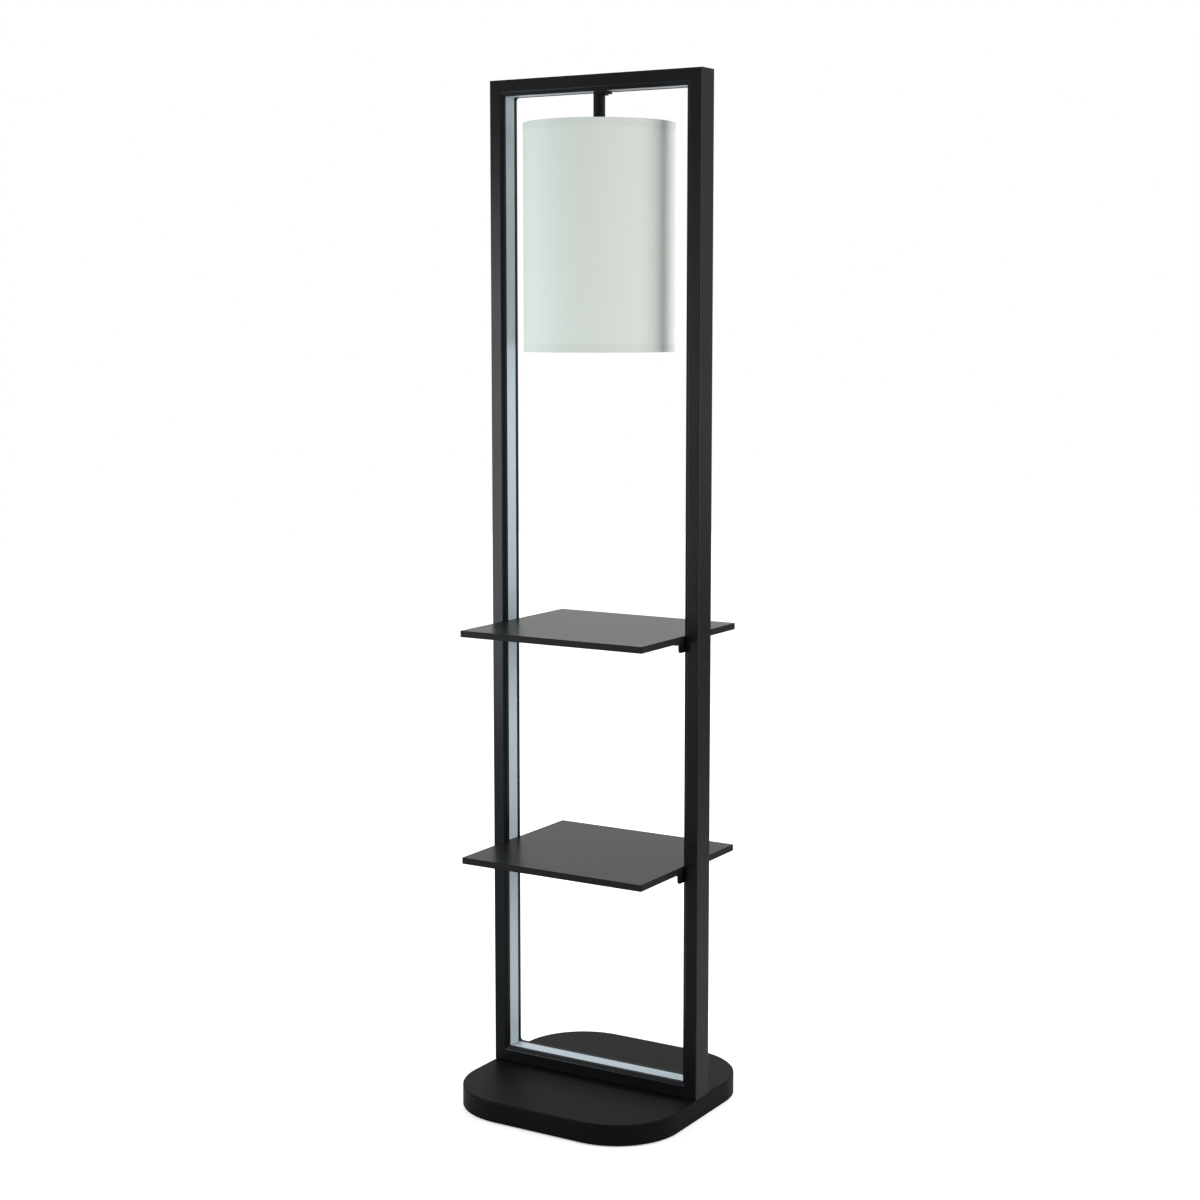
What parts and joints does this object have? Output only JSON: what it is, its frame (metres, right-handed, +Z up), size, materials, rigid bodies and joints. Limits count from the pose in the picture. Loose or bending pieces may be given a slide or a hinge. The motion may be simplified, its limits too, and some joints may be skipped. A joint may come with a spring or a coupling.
{
  "type": "shelf floor lamp",
  "caption": "Slim upright frame on a rounded base, with shelves between its posts, a hanging drum shade and light channels inside the frame.",
  "frame": {"origin": "on the floor under the middle of the base", "axes": "+Z up along the posts; -Y is the lamp's front; +X runs from the left post to the right post"},
  "size_m": [0.37, 0.37, 1.587],
  "materials": {
    "frame_paint": "satin black powder coat",
    "channel_paint": "black anodised, satin",
    "milky_cover": "milky translucent acrylic, unlit",
    "light_strip": "white flexible strip with small light packages",
    "base_paint": "satin black powder coat",
    "bottom_sheet": "black painted sheet",
    "ballast": "rough cast",
    "rubber": "matt black rubber",
    "plated_steel": "zinc plated",
    "driver_case": "white moulded case",
    "terminal_plastic": "natural moulded plastic",
    "lead_sleeve": "black lead sleeve",
    "shelf_board": "board with satin black finish",
    "bracket_paint": "black powder coat",
    "black_screw": "black screws",
    "hanger_paint": "black powder coat",
    "holder_plastic": "black moulded plastic",
    "brass": "plain brass",
    "bulb_glass": "frosted white globe",
    "shade_cloth": "stiffened off-white cloth, fine slub weave",
    "shade_wire": "white coated wire"
  },
  "bodies": {
    "root": {"frame_left_post": "frame_paint", "frame_right_post": "frame_paint", "frame_top_rail": "frame_paint", "frame_bottom_rail": "frame_paint", "led_channel_left": "channel_paint", "led_channel_right": "channel_paint", "led_channel_top": "channel_paint", "led_channel_bottom": "channel_paint", "led_cover_left": "milky_cover", "led_cover_right": "milky_cover", "led_cover_top": "milky_cover", "led_cover_bottom": "milky_cover", "led_strip_left": "light_strip", "led_strip_right": "light_strip", "led_strip_top": "light_strip", "led_strip_bottom": "light_strip", "base_cover": "base_paint", "base_bottom_sheet": "bottom_sheet", "base_weight": "ballast", "base_pads": "rubber", "cord_bushing": "rubber", "base_stiffening_bar": "plated_steel", "frame_bolts": "plated_steel", "frame_washers": "plated_steel", "frame_nuts": "plated_steel", "base_screws": "plated_steel", "weight_screws": "plated_steel", "threaded_pipe": "plated_steel", "hanger_nut": "plated_steel", "led_driver": "driver_case", "terminal_block": "terminal_plastic", "lamp_lead": "lead_sleeve", "led_lead": "lead_sleeve", "upper_shelf": "shelf_board", "lower_shelf": "shelf_board", "upper_left_bracket": "bracket_paint", "upper_right_bracket": "bracket_paint", "lower_left_bracket": "bracket_paint", "lower_right_bracket": "bracket_paint", "bracket_screws": "black_screw", "shelf_screws": "black_screw", "hanger_screw": "black_screw", "hanger_plate": "hanger_paint", "hanger_tube": "hanger_paint", "lampholder_cap": "hanger_paint", "lampholder_body": "holder_plastic", "screw_shell": "brass", "centre_contact": "brass", "shade_cloth": "shade_cloth", "shade_spider": "shade_wire", "shade_top_ring": "shade_wire", "shade_bottom_ring": "shade_wire"},
    "bulb": {"bulb_glass": "bulb_glass", "bulb_cap": "brass"},
    "shade_nut": {"shade_nut": "holder_plastic"},
    "switch_knob": {"switch_knob": "holder_plastic"}
  },
  "joints": [
    {"name": "bulb_turn", "type": "hinge", "parent": "root", "child": "bulb", "pos_m": [0, 0, 1.44], "axis": [0, 0, 1], "continuous": true},
    {"name": "shade_nut_turn", "type": "hinge", "parent": "root", "child": "shade_nut", "pos_m": [0, 0, 1.4388], "axis": [0, 0, 1], "continuous": true},
    {"name": "switch_turn", "type": "hinge", "parent": "root", "child": "switch_knob", "pos_m": [0, 0, 1.4575], "axis": [1, 0, 0], "continuous": true}
  ]
}
